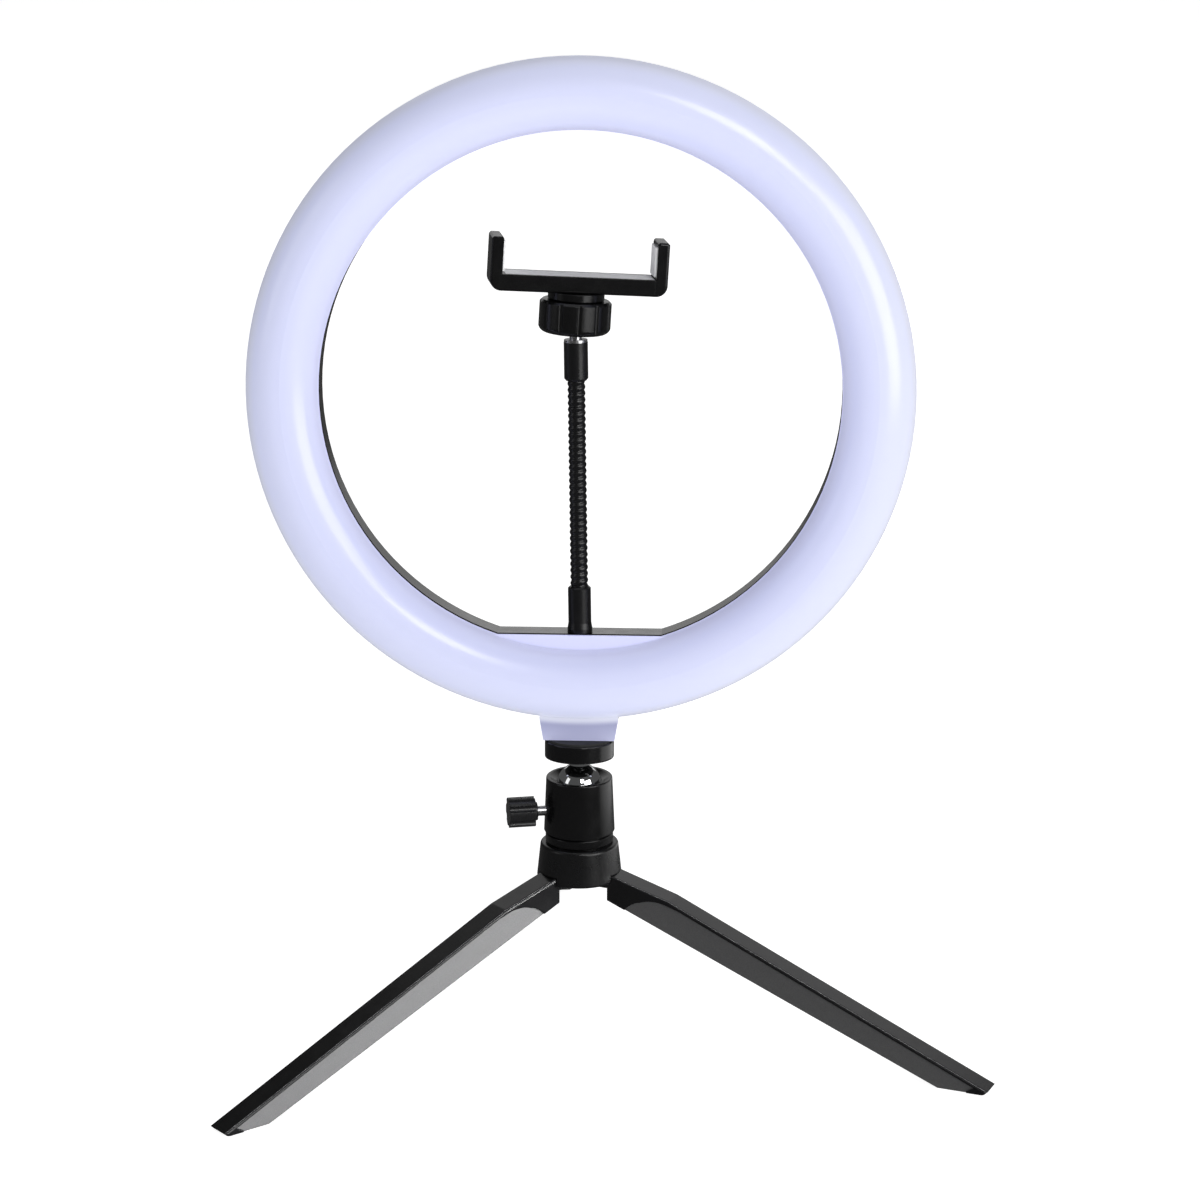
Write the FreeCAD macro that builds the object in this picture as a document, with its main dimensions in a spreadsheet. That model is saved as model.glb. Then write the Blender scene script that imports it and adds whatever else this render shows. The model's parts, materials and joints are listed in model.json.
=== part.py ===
import FreeCAD, Part
import math
import os
import re
import Sketcher
from FreeCAD import Placement, Rotation, Vector

# Desk ring light: a 26 cm lit ring on a small ball head and a folding three-leg stand, with a
# phone clamp on a short gooseneck inside the ring. Millimetres, +Z up, the light faces -Y.
#
# Each sub-part is drawn in the frame of the assembly it belongs to and then placed:
#   stand    origin at the centre of the ball head's ball, Z along the stand's axis
#   mount    the stand frame leaned back by the light's tilt
#   head     origin at the centre of the lit ring, Z up across the ring, -Y the lit side
#   arm      origin at the foot of the gooseneck, Z along it
#   clamp    origin at the centre of the clamp's ball, X across the phone

# name, size in millimetres, degrees or a count, what it is
SIZES = [
    ("ring_radius", 130.0, "outer radius of the lit ring"),
    ("hole_radius", 101.5, "radius of the ring's opening"),
    ("chord_drop", 96.3, "flat lower edge of the opening, below the ring's centre"),
    ("dome_height", 11.0, "crown of the diffuser in front of the seam"),
    ("flange_depth", 1.6, "flat web and stub of the diffuser in front of the seam"),
    ("shell_wall", 2.0, "wall of both shells"),
    ("housing_depth", 17.0, "rear housing behind the seam"),
    ("housing_edge", 128.6, "outer radius of the rear housing at the seam"),
    ("housing_back", 121.0, "outer radius of the rear housing's flat back"),
    ("housing_shoulder", 9.0, "depth at which the rear housing starts to round"),
    ("housing_lip", 3.2, "rounding of the rear housing's inner back edge"),
    ("stub_top_half", 15.5, "half width of the stub where it leaves the ring"),
    ("stub_foot_half", 14.0, "half width of the stub at its foot"),
    ("stub_drop", 138.5, "foot of the stub below the ring's centre"),
    ("board_inner", 106.5, "inner radius of the light-emitting board"),
    ("board_outer", 124.0, "outer radius of the light-emitting board"),
    ("board_thick", 1.2, "thickness of the boards"),
    ("board_depth", 6.0, "front face of the light-emitting board behind the seam"),
    ("led_count", 48, "emitters in each of the two rows"),
    ("led_inner_row", 110.0, "radius of the warm row"),
    ("led_outer_row", 120.0, "radius of the cool row"),
    ("led_long", 3.5, "length of an emitter"),
    ("led_wide", 2.8, "width of an emitter"),
    ("led_tall", 0.8, "height of an emitter"),
    ("screw_circle", 115.0, "radius of the housing screws' circle"),
    ("screw_count", 6, "housing screws"),
    ("screw_hole", 1.35, "radius of the housing's screw holes"),
    ("screw_shank", 1.1, "radius of a housing screw's shank"),
    ("screw_head", 2.4, "radius of a housing screw's head"),
    ("post_radius", 3.0, "radius of the housing's screw posts"),
    ("head_rise", 157.8, "ring's centre above the ball's centre, along the head"),
    ("head_back", 4.0, "ball's axis behind the seam"),
    ("head_tilt", 5.0, "backward lean of the light at rest, degrees"),
    ("insert_radius", 3.95, "outer radius of the brass thread insert"),
    ("stud_radius", 3.15, "quarter inch studs"),
    ("stud_hole", 3.20, "holes that take the quarter inch studs"),
    ("ball_radius", 9.0, "ball of the ball head"),
    ("ball_gap", 0.05, "running clearance round the ball"),
    ("stem_radius", 3.75, "stem between ball and disc"),
    ("disc_drop", 11.45, "underside of the disc above the ball's centre"),
    ("disc_radius", 13.65, "platform disc"),
    ("disc_thick", 7.0, "platform disc without its pad"),
    ("pad_thick", 0.85, "rubber pad on the disc"),
    ("rim_rise", 3.6, "rim of the cup above the ball's centre"),
    ("rim_radius", 13.1, "outer radius of the cup at its rim"),
    ("dish_radius", 11.7, "outer radius of the dish round the ball"),
    ("dish_foot", 2.1, "height of the dish's foot above the ball's centre"),
    ("cup_radius", 14.0, "outer radius of the cup at its foot"),
    ("cup_drop", 18.8, "foot of the cup below the ball's centre"),
    ("chamber_drop", 16.4, "floor of the cup's chamber"),
    ("shoe_radius", 8.95, "brake shoe"),
    ("shoe_top", 5.0, "top of the brake shoe below the ball's centre"),
    ("shoe_foot", 15.4, "foot of the brake shoe below the ball's centre"),
    ("lock_drop", 10.0, "lock screw below the ball's centre"),
    ("lock_radius", 2.0, "lock screw"),
    ("lock_gap", 0.06, "clearance round the lock screw"),
    ("lock_tip", 4.6, "tip of the lock screw from the cup's axis"),
    ("lock_azimuth", 192.6, "direction of the lock knob, degrees"),
    ("knob_start", 17.0, "inner face of the lock knob from the cup's axis"),
    ("knob_long", 11.5, "length of the lock knob"),
    ("knob_radius", 6.0, "radius over the lock knob's lobes"),
    ("knob_lobes", 6, "lobes of the lock knob"),
    ("collar_radius", 13.4, "collar between cup and hub"),
    ("groove_step", 0.9, "depth of the grooves beside the collar"),
    ("groove_wide", 0.55, "width of the grooves beside the collar"),
    ("hub_drop", 23.3, "top of the hub below the ball's centre"),
    ("hub_foot", 37.8, "foot of the hub below the ball's centre"),
    ("hub_top_radius", 15.5, "hub at its shoulder"),
    ("hub_foot_radius", 16.8, "hub at its foot"),
    ("pivot_radius", 9.25, "leg pins from the stand's axis"),
    ("pivot_drop", 36.5, "leg pins below the ball's centre"),
    ("pin_radius", 1.5, "leg pins"),
    ("pin_half", 11.0, "half length of a leg pin"),
    ("pin_gap", 0.05, "running clearance round a leg pin"),
    ("knuckle_radius", 3.6, "rounded end of a leg round its pin"),
    ("leg_wide", 10.8, "width of a leg"),
    ("slot_gap", 0.25, "clearance beside and round a leg's knuckle"),
    ("floor_drop", 103.0, "floor below the ball's centre"),
    ("leg_reach", 173.0, "tip of a leg from the stand's axis"),
    ("toe_height", 1.6, "height of a leg's blunt tip"),
    ("heel_reach", 152.6, "inner end of a leg's flat foot from the axis"),
    ("brow_reach", 16.5, "leg's upper edge where it leaves the hub"),
    ("brow_drop", 35.0, "drop of that point"),
    ("bend_reach", 40.0, "bend of a leg's upper edge"),
    ("bend_drop", 42.1, "drop of that bend"),
    ("chin_reach", 14.0, "inner lower corner of a leg"),
    ("chin_drop", 44.9, "drop of that corner"),
    ("facet_depth", 0.6, "sunk side panels of a leg"),
    ("facet_band", 1.2, "band between a leg's upper edge and its side panels"),
    ("crown_round", 1.0, "rounding of a leg's upper edges"),
    ("rear_leg", 96.2, "direction of the rear leg, degrees"),
    ("left_leg", 220.2, "direction of the left leg, degrees"),
    ("right_leg", 340.2, "direction of the right leg, degrees"),
    ("foot_thick", 1.4, "rubber foot"),
    ("foot_proud", 0.3, "rubber foot below the leg's sole"),
    ("arm_back", 6.0, "gooseneck behind the seam"),
    ("arm_lean", 1.0, "sideways lean of the gooseneck, degrees"),
    ("ferrule_radius", 4.5, "lower ferrule of the gooseneck"),
    ("ferrule_flare", 4.9, "foot of the lower ferrule"),
    ("ferrule_long", 18.3, "lower ferrule above the chord"),
    ("tail_radius", 3.0, "threaded tail of the lower ferrule"),
    ("tail_long", 9.5, "length of that tail"),
    ("hose_radius", 3.5, "gooseneck hose"),
    ("hose_long", 81.7, "hose between its ferrules"),
    ("hose_joints", 8, "bending joints that the hose is divided by"),
    ("link_gap", 0.75, "half gap between two hose links"),
    ("link_ball", 2.6, "ball between two hose links"),
    ("upper_radius", 4.7, "upper ferrule"),
    ("upper_long", 15.1, "upper ferrule"),
    ("clamp_rise", 127.3, "centre of the clamp's ball above the chord, along the arm"),
    ("clamp_ball_radius", 5.0, "ball of the clamp"),
    ("clamp_roll", 3.2, "sideways lean of the clamp, degrees"),
    ("clamp_yaw", 9.6, "turn of the clamp, degrees"),
    ("neck_stud", 2.4, "stem of the clamp's ball"),
    ("collet_gap", 0.05, "running clearance of the collet"),
    ("collet_wall", 0.9, "wall of the collet"),
    ("nut_radius", 14.0, "lock nut"),
    ("nut_foot", 8.5, "foot of the lock nut below the clamp's ball"),
    ("nut_top", 4.3, "top of the lock nut above the clamp's ball"),
    ("nut_flutes", 12, "grip flutes of the lock nut"),
    ("nut_bore", 10.0, "bore of the lock nut"),
    ("socket_skirt", 9.9, "skirt of the clamp's socket inside the nut"),
    ("socket_neck", 11.0, "neck of the clamp's socket"),
    ("bar_foot", 7.5, "underside of the clamp's bar above its ball"),
    ("bar_high", 6.6, "height of the clamp's bar"),
    ("bar_deep", 15.0, "depth of the clamp's bar"),
    ("jaw_inner", 29.9, "inner face of each jaw from the clamp's axis"),
    ("jaw_outer", 34.5, "outer face of each jaw from the clamp's axis"),
    ("jaw_top", 28.6, "top of the jaws above the clamp's ball"),
    ("jaw_round", 4.4, "rounding of the clamp's lower corners"),
    ("channel_floor", 10.1, "floor of the slide above the clamp's ball"),
    ("channel_high", 2.6, "height of the slide"),
    ("channel_deep", 10.0, "depth of the slide"),
    ("tongue_long", 55.0, "tongue of the sliding jaw"),
    ("slide_gap", 0.1, "clearance round the tongue"),
    ("cushion_thick", 0.8, "soft pads of the clamp"),
    ("cushion_deep", 12.0, "depth of the soft pads"),
    ("spring_radius", 1.1, "coils of the jaw spring"),
    ("gland_height", 116.0, "cable gland below the ring's centre"),
    ("gland_radius", 3.6, "gland where it passes the back"),
    ("gland_flange", 5.2, "flange of the gland"),
    ("gland_bore", 1.9, "bore of the gland, for the lead"),
]
VALUES = {name: value for name, value, note in SIZES}

LEGS = ("rear_leg", "left_leg", "right_leg")
TURN_Y = Rotation(Vector(0, 1, 0), 90)
TURN_X = Rotation(Vector(1, 0, 0), 90)
LEVEL = Rotation()

doc = FreeCAD.newDocument("ring_light")
sheet = doc.addObject("Spreadsheet::Sheet", "Dims")
for row, (name, value, note) in enumerate(SIZES, start=1):
    sheet.set(f"A{row}", name)
    sheet.set(f"B{row}", str(value))
    sheet.set(f"C{row}", note)
    sheet.setAlias(f"B{row}", name)
doc.recompute()

PARTS = {}


# ---------------------------------------------------------------- binding to the sheet
def bound(expression):
    """An expression in the sheet's names, as the document reads it."""
    def named(word):
        return "Dims." + word.group() if word.group() in VALUES else word.group()
    return re.sub(r"[a-z][a-z_0-9]*", named, str(expression))


def number(expression):
    """The value of an expression in the sheet's names."""
    return float(sheet.evalExpression(bound(expression)))


def bind(feature, **sizes):
    """Ties a feature's properties to expressions."""
    for name, expression in sizes.items():
        feature.setExpression(name, bound(expression))


def put(feature, at=(0, 0, 0), rotation=LEVEL):
    """Places a feature at a point whose coordinates are expressions."""
    feature.Placement = Placement(Vector(*[number(part) for part in at]), rotation)
    for axis, expression in zip("xyz", at):
        if expression != 0:
            feature.setExpression(f"Placement.Base.{axis}", bound(expression))


def moved(feature, frame):
    """The feature as a new one that is placed in a frame of its own."""
    doc.recompute()
    placed = doc.addObject("Part::Refine", feature.Name + "_placed")
    placed.Source = feature
    doc.recompute()
    placed.Placement = frame.multiply(placed.Placement)
    return placed


def sub_part(label, feature, frame):
    """Names a finished feature as a sub-part and places it in its assembly's frame."""
    doc.recompute()
    if any("Placement" in path for path, expression in feature.ExpressionEngine):
        feature = moved(feature, frame)
    else:
        feature.Placement = frame.multiply(feature.Placement)
    feature.Label = label
    PARTS[label] = feature


# ---------------------------------------------------------------- building blocks
def cylinder(name, radius, height, at=(0, 0, 0), rotation=LEVEL):
    feature = doc.addObject("Part::Cylinder", name)
    bind(feature, Radius=radius, Height=height)
    put(feature, at, rotation)
    return feature


def cone(name, low_radius, high_radius, height, at=(0, 0, 0), rotation=LEVEL):
    feature = doc.addObject("Part::Cone", name)
    bind(feature, Radius1=low_radius, Radius2=high_radius, Height=height)
    put(feature, at, rotation)
    return feature


def ball(name, radius, at=(0, 0, 0)):
    feature = doc.addObject("Part::Sphere", name)
    bind(feature, Radius=radius)
    put(feature, at)
    return feature


def block(name, long, deep, high, at=(0, 0, 0), rotation=LEVEL):
    """A box from its lowest corner."""
    feature = doc.addObject("Part::Box", name)
    bind(feature, Length=long, Width=deep, Height=high)
    put(feature, at, rotation)
    return feature


def fuse(name, *features):
    feature = doc.addObject("Part::MultiFuse", name)
    feature.Shapes = list(features)
    feature.Refine = True
    return feature


def cut(name, base, *tools):
    feature = doc.addObject("Part::Cut", name)
    feature.Base = base
    feature.Tool = tools[0] if len(tools) == 1 else fuse(name + "_tools", *tools)
    feature.Refine = True
    return feature


def common(name, *features):
    feature = doc.addObject("Part::MultiCommon", name)
    feature.Shapes = list(features)
    return feature


def group(name, features):
    """Identical pieces that share one node, each a solid of its own."""
    feature = doc.addObject("Part::Compound", name)
    feature.Links = list(features)
    return feature


def outline(sketch, corners, arcs):
    """A closed profile. Its corners are pairs of expressions. arcs gives the edges that are arcs:
    edge number to its radius, positive when its centre is on the left of the way round."""
    points = [Vector(number(x), number(y), 0) for x, y in corners]
    ends = []
    for index, start in enumerate(points):
        end = points[(index + 1) % len(points)]
        if index not in arcs:
            sketch.addGeometry(Part.LineSegment(start, end), False)
            ends.append(((index, 1), (index, 2)))
            continue
        radius = number(arcs[index])
        along = end - start
        left = Vector(-along.y, along.x, 0).normalize()
        rise = math.sqrt(max(radius ** 2 - (along.Length / 2) ** 2, 0))
        centre = start + along * 0.5 + left * math.copysign(rise, radius)
        first, last = (start, end) if radius > 0 else (end, start)
        angles = [math.atan2(p.y - centre.y, p.x - centre.x) for p in (first, last)]
        circle = Part.Circle(centre, Vector(0, 0, 1), abs(radius))
        sketch.addGeometry(Part.ArcOfCircle(circle, angles[0], angles[1]), False)
        ends.append(((index, 1), (index, 2)) if radius > 0 else ((index, 2), (index, 1)))
    for index in range(len(points)):
        following = (index + 1) % len(points)
        sketch.addConstraint(Sketcher.Constraint("Coincident", *ends[index][1], *ends[following][0]))
    for index, (x, y) in enumerate(corners):
        for kind, expression, axis in (("DistanceX", x, -2), ("DistanceY", y, -1)):
            value = number(expression)
            if abs(value) < 1e-9:
                sketch.addConstraint(Sketcher.Constraint("PointOnObject", *ends[index][0], axis))
                continue
            held = sketch.addConstraint(Sketcher.Constraint(kind, -1, 1, *ends[index][0], value))
            sketch.setExpression(f"Constraints[{held}]", bound(expression))
    for index, radius in arcs.items():
        held = sketch.addConstraint(Sketcher.Constraint("Radius", index, abs(number(radius))))
        sketch.setExpression(f"Constraints[{held}]", bound(f"abs({radius})"))


def body_sketch(body, name, plane, corners, arcs):
    """A sketch on one of a body's own origin planes."""
    sketch = body.newObject("Sketcher::SketchObject", name)
    origin_plane = [item for item in body.Origin.OriginFeatures if item.Role == plane][0]
    sketch.AttachmentSupport = (origin_plane, "")
    sketch.MapMode = "FlatFace"
    outline(sketch, corners, arcs)
    return sketch


def turned(name, corners, arcs=None, axis="Z"):
    """A body of revolution. Corners are (radius, height along the axis)."""
    body = doc.addObject("PartDesign::Body", name)
    plane = "XZ_Plane" if axis == "Z" else "XY_Plane"
    sketch = body_sketch(body, name + "_profile", plane, corners, arcs or {})
    revolution = body.newObject("PartDesign::Revolution", name + "_turn")
    revolution.Profile = sketch
    revolution.ReferenceAxis = (sketch, ["V_Axis"])
    revolution.Angle = 360.0
    sketch.Visibility = False
    return body


def plate(name, corners, thick, arcs=None, plane="XY_Plane", both_ways=True):
    """A body padded from a closed profile."""
    body = doc.addObject("PartDesign::Body", name)
    sketch = body_sketch(body, name + "_profile", plane, corners, arcs or {})
    pad = body.newObject("PartDesign::Pad", name + "_pad")
    pad.Profile = sketch
    pad.Midplane = both_ways
    bind(pad, Length=thick)
    return body


# ---------------------------------------------------------------- frames
def lean(degrees):
    return Placement(Vector(), Rotation(Vector(1, 0, 0), -degrees))


def head_frame(mount):
    offset = Vector(0, -VALUES["head_back"], VALUES["head_rise"])
    return mount.multiply(Placement(offset, LEVEL))


def arm_frame(head):
    foot = Vector(0, VALUES["arm_back"], -VALUES["chord_drop"])
    return head.multiply(Placement(foot, Rotation(Vector(0, 1, 0), -VALUES["arm_lean"])))


def clamp_frame(arm):
    upright = Rotation(Vector(0, 1, 0), VALUES["arm_lean"] + VALUES["clamp_roll"])
    turned_round = upright.multiply(Rotation(Vector(0, 0, 1), VALUES["clamp_yaw"]))
    return arm.multiply(Placement(Vector(0, 0, VALUES["clamp_rise"]), turned_round))


STAND = Placement()
MOUNT = lean(VALUES["head_tilt"])
HEAD = head_frame(MOUNT)
ARM = arm_frame(HEAD)
CLAMP = clamp_frame(ARM)


# ---------------------------------------------------------------- stand
def leg_frame(index):
    """X runs outward along the leg."""
    return Placement(Vector(), Rotation(Vector(0, 0, 1), VALUES[LEGS[index]]))


def hub_slot(index):
    """The room that one leg's knuckle needs in the hub. Its roof follows the leg's upper edge."""
    eye_radius = "(knuckle_radius + slot_gap)"
    room = plate(
        f"hub_slot_{index}",
        [
            (f"pivot_radius + 0.2966 * {eye_radius}", f"-pivot_drop + 0.9550 * {eye_radius}"),
            ("brow_reach + 3", "-brow_drop + slot_gap - 0.93"),
            ("brow_reach + 3", "-hub_foot - 1"),
            ("pivot_radius", "-hub_foot - 1"),
        ],
        "leg_wide + 2 * slot_gap",
        plane="XZ_Plane",
    )
    eye = cylinder(
        f"hub_eye_{index}", "knuckle_radius + slot_gap", "leg_wide + 2 * slot_gap",
        at=("pivot_radius", "leg_wide / 2 + slot_gap", "-pivot_drop"), rotation=TURN_X,
    )
    under = block(
        f"hub_under_{index}", "2 * (knuckle_radius + slot_gap)", "leg_wide + 2 * slot_gap",
        "hub_foot - pivot_drop + 1",
        at=("pivot_radius - knuckle_radius - slot_gap - 0.6", "-leg_wide / 2 - slot_gap", "-hub_foot - 1"),
    )
    bore = cylinder(
        f"hub_bore_{index}", "pin_radius", "2 * pin_half",
        at=("pivot_radius", "pin_half", "-pivot_drop"), rotation=TURN_X,
    )
    tool = fuse(f"hub_room_{index}", room, eye, under, bore)
    tool.Placement = leg_frame(index)
    return tool


def hub():
    turned_hub = turned(
        "hub_turning",
        [
            ("stud_hole", "-hub_drop"),
            ("hub_top_radius - 1.4", "-hub_drop"),
            ("hub_top_radius", "-hub_drop - 1.4"),
            ("hub_foot_radius", "-hub_foot + 0.8"),
            ("hub_foot_radius - 0.8", "-hub_foot"),
            ("stud_hole + 0.5", "-hub_foot"),
            ("stud_hole + 0.5", "-hub_foot + 3.5"),
            ("stud_hole", "-hub_foot + 3.5"),
        ],
        {1: "-1.4", 3: "-0.8"},
    )
    return cut("hub_cut", turned_hub, *[hub_slot(index) for index in range(len(LEGS))])


def base_screw():
    shank = cylinder(
        "base_shank", "stud_radius", "hub_foot - 3.5 - cup_drop + 1.9", at=(0, 0, "-hub_foot + 3.5"),
    )
    head = cylinder("base_head", "stud_hole + 0.4", 3.1, at=(0, 0, "-hub_foot + 0.4"))
    drive = cylinder("base_drive", 1.8, 2.0, at=(0, 0, "-hub_foot + 0.4"))
    return cut("base_screw_cut", fuse("base_screw_blank", shank, head), drive)


def collar():
    return turned(
        "collar_turning",
        [
            ("stud_hole", "-hub_drop"),
            ("collar_radius - groove_step", "-hub_drop"),
            ("collar_radius - groove_step", "-hub_drop + groove_wide"),
            ("collar_radius - 0.2", "-hub_drop + groove_wide"),
            ("collar_radius", "-hub_drop + groove_wide + 0.2"),
            ("collar_radius", "-cup_drop - groove_wide - 0.2"),
            ("collar_radius - 0.2", "-cup_drop - groove_wide"),
            ("collar_radius - groove_step", "-cup_drop - groove_wide"),
            ("collar_radius - groove_step", "-cup_drop"),
            ("stud_hole", "-cup_drop"),
        ],
    )


def ball_cup():
    blank = turned(
        "cup_turning",
        [
            ("stud_hole", "-cup_drop"),
            ("cup_radius - 0.5", "-cup_drop"),
            ("cup_radius", "-cup_drop + 0.5"),
            ("rim_radius", "rim_rise - 0.5"),
            ("rim_radius - 0.5", "rim_rise"),
            ("dish_radius", "rim_rise"),
            ("sqrt((ball_radius + ball_gap)^2 - dish_foot^2)", "dish_foot"),
            ("ball_radius + ball_gap", 0),
            ("ball_radius + ball_gap", "-chamber_drop"),
            ("stud_hole", "-chamber_drop"),
        ],
        {3: "0.5", 6: "-(ball_radius + ball_gap)"},
    )
    bore = cylinder(
        "lock_bore", "lock_radius + lock_gap", "cup_radius",
        at=("lock_tip", 0, "-lock_drop"), rotation=TURN_Y,
    )
    return cut("cup_cut", blank, moved(bore, lock_frame()))


def brake_shoe():
    blank = cylinder("shoe_blank", "shoe_radius", "shoe_foot - shoe_top", at=(0, 0, "-shoe_foot"))
    seat = ball("shoe_seat", "ball_radius + ball_gap")
    notch = cylinder(
        "shoe_notch",
        "lock_radius + 0.5",
        "ball_radius",
        at=("lock_tip - 1.4", 0, "-lock_drop"),
        rotation=TURN_Y,
    )
    feature = cut("shoe_cut", blank, seat, notch)
    feature.Placement = lock_frame()
    return feature


def lock_frame():
    """X runs outward along the lock screw."""
    return Placement(Vector(), Rotation(Vector(0, 0, 1), VALUES["lock_azimuth"]))


def lock_screw():
    tip = cone("screw_tip", 0.8, "lock_radius", 1.3, at=("lock_tip", 0, "-lock_drop"), rotation=TURN_Y)
    shaft = cylinder(
        "screw_shaft", "lock_radius", "knob_start + 6 - lock_tip - 1.3",
        at=("lock_tip + 1.3", 0, "-lock_drop"), rotation=TURN_Y,
    )
    return fuse("lock_screw_blank", tip, shaft)


def lock_knob():
    """A moulded knob with deep grooves between its lobes and a short boss."""
    barrel = cylinder(
        "knob_barrel",
        "knob_radius",
        "knob_long - 1",
        at=("knob_start + 1", 0, "-lock_drop"),
        rotation=TURN_Y,
    )
    boss = cylinder(
        "knob_boss", "knob_radius * 0.6", 1.0, at=("knob_start", 0, "-lock_drop"), rotation=TURN_Y,
    )
    grooves = []
    for index in range(int(VALUES["knob_lobes"])):
        angle = math.radians(360.0 / VALUES["knob_lobes"] * (index + 0.5))
        groove = cylinder(
            f"knob_groove_{index}", "knob_radius * 0.22", "knob_long + 2",
            at=(
                "knob_start",
                f"knob_radius * 1.02 * {math.cos(angle):.6f}",
                f"-lock_drop + knob_radius * 1.02 * {math.sin(angle):.6f}",
            ),
            rotation=TURN_Y,
        )
        grooves.append(groove)
    eye = cylinder("knob_eye", "lock_radius", 6.0, at=("knob_start", 0, "-lock_drop"), rotation=TURN_Y)
    return cut("knob_cut", fuse("knob_blank", barrel, boss), eye, *grooves)


# ---------------------------------------------------------------- legs
SOLE = "-floor_drop + foot_proud"
UPPER_SLOPE = "(floor_drop - toe_height - bend_drop) / (leg_reach - bend_reach)"
LOWER_SLOPE = "(floor_drop - foot_proud - chin_drop) / (heel_reach - chin_reach)"


def leg_outline():
    """A leg from the side: reach from the stand's axis and height from the ball's centre."""
    return [
        ("pivot_radius - knuckle_radius", "-pivot_drop"),
        ("pivot_radius + knuckle_radius * 0.2966", "-pivot_drop + knuckle_radius * 0.9550"),
        ("brow_reach", "-brow_drop"),
        ("bend_reach", "-bend_drop"),
        ("leg_reach", "-floor_drop + toe_height"),
        ("leg_reach - 1.4", SOLE),
        ("heel_reach", SOLE),
        ("chin_reach", "-chin_drop"),
        ("chin_reach", "-pivot_drop - knuckle_radius"),
        ("pivot_radius", "-pivot_drop - knuckle_radius"),
    ]


def facet_outline():
    """The sunk panel on each side of a leg, open along the leg's lower edge."""
    upper_line = f"-bend_drop - facet_band * 1.1 - ({UPPER_SLOPE})"
    return [
        ("chin_reach + 6.4", f"-chin_drop - 2 - ({LOWER_SLOPE}) * 6.4"),
        ("chin_reach + 14", "-bend_drop - 1.8"),
        ("bend_reach - 1", "-bend_drop - facet_band - 0.3"),
        ("bend_reach + 4", f"{upper_line} * 4"),
        ("leg_reach - 5.5", f"{upper_line} * (leg_reach - 5.5 - bend_reach)"),
        ("leg_reach - 8.5", "-floor_drop + 1"),
        ("leg_reach - 8.5", "-floor_drop - 2"),
        ("heel_reach", "-floor_drop - 2"),
    ]


def leg_blank(name):
    """Padded side profile with rounded upper edges."""
    body = doc.addObject("PartDesign::Body", name)
    arcs = {0: "-knuckle_radius", 9: "-knuckle_radius"}
    side = body_sketch(body, name + "_side", "XZ_Plane", leg_outline(), arcs)
    pad = body.newObject("PartDesign::Pad", name + "_pad")
    pad.Profile = side
    pad.Midplane = True
    bind(pad, Length="leg_wide")
    doc.recompute()
    half = VALUES["leg_wide"] / 2
    upper = []
    for index, edge in enumerate(pad.Shape.Edges, start=1):
        middle = edge.valueAt((edge.FirstParameter + edge.LastParameter) / 2)
        chin_line = -VALUES["chin_drop"] - number(LOWER_SLOPE) * (middle.x - VALUES["chin_reach"])
        on_side = abs(abs(middle.y) - half) < 1e-6
        if on_side and middle.x > VALUES["brow_reach"] and middle.z > chin_line + 4:
            upper.append(f"Edge{index}")
    crown = body.newObject("PartDesign::Fillet", name + "_crown")
    crown.Base = (pad, upper)
    bind(crown, Radius="crown_round")
    return body


def facet_cutter(name, side):
    """The piece taken out of one side of a leg."""
    arcs = {0: "-11", 1: "-16"}
    cutter = plate(name, facet_outline(), "2 * facet_depth", arcs, plane="XZ_Plane")
    put(cutter, at=(0, f"{side} * leg_wide / 2", 0))
    return cutter


def leg(index):
    blank = leg_blank(f"leg_body_{index}")
    eye = cylinder(
        f"leg_eye_{index}", "pin_radius + pin_gap", "leg_wide + 2",
        at=("pivot_radius", "leg_wide / 2 + 1", "-pivot_drop"), rotation=TURN_X,
    )
    sole = block(
        f"leg_sole_{index}", "leg_reach - 4 - heel_reach", "leg_wide - 3", "foot_thick",
        at=("heel_reach + 1", "-leg_wide / 2 + 1.5", "-floor_drop"),
    )
    facets = [facet_cutter(f"leg_facet_{index}_{name}", side) for name, side in (("a", 1), ("b", -1))]
    return cut(f"leg_cut_{index}", blank, eye, sole, *facets)


def leg_pin(index):
    return cylinder(
        f"leg_pin_blank_{index}", "pin_radius", "2 * pin_half",
        at=("pivot_radius", "pin_half", "-pivot_drop"), rotation=TURN_X,
    )


def leg_foot(index):
    return block(
        f"leg_foot_blank_{index}", "leg_reach - 4 - heel_reach", "leg_wide - 3", "foot_thick",
        at=("heel_reach + 1", "-leg_wide / 2 + 1.5", "-floor_drop"),
    )


def make_stand():
    sub_part("tripod_hub", hub(), STAND)
    sub_part("base_screw", base_screw(), STAND)
    sub_part("base_collar", collar(), STAND)
    sub_part("ball_cup", ball_cup(), STAND)
    sub_part("brake_shoe", brake_shoe(), STAND)
    sub_part("lock_screw", lock_screw(), lock_frame())
    sub_part("lock_knob", lock_knob(), lock_frame())
    for index in range(len(LEGS)):
        sub_part(f"leg_{index + 1}", leg(index), leg_frame(index))
        sub_part(f"leg_pin_{index + 1}", leg_pin(index), leg_frame(index))
        sub_part(f"leg_foot_{index + 1}", leg_foot(index), leg_frame(index))


# ---------------------------------------------------------------- ball, disc and stud
def ball_stem():
    stem = cylinder(
        "stem_blank", "stem_radius", "disc_drop - ball_radius * 0.8", at=(0, 0, "ball_radius * 0.8"),
    )
    return cut("stem_cut", stem, ball("stem_seat", "ball_radius + ball_gap"))


def head_disc():
    return turned(
        "disc_turning",
        [
            ("stud_radius", "disc_drop"),
            ("disc_radius - 0.7", "disc_drop"),
            ("disc_radius", "disc_drop + 0.7"),
            ("disc_radius", "disc_drop + disc_thick - 0.4"),
            ("disc_radius - 0.4", "disc_drop + disc_thick"),
            ("stud_radius", "disc_drop + disc_thick"),
        ],
        {1: "0.7"},
    )


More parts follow.
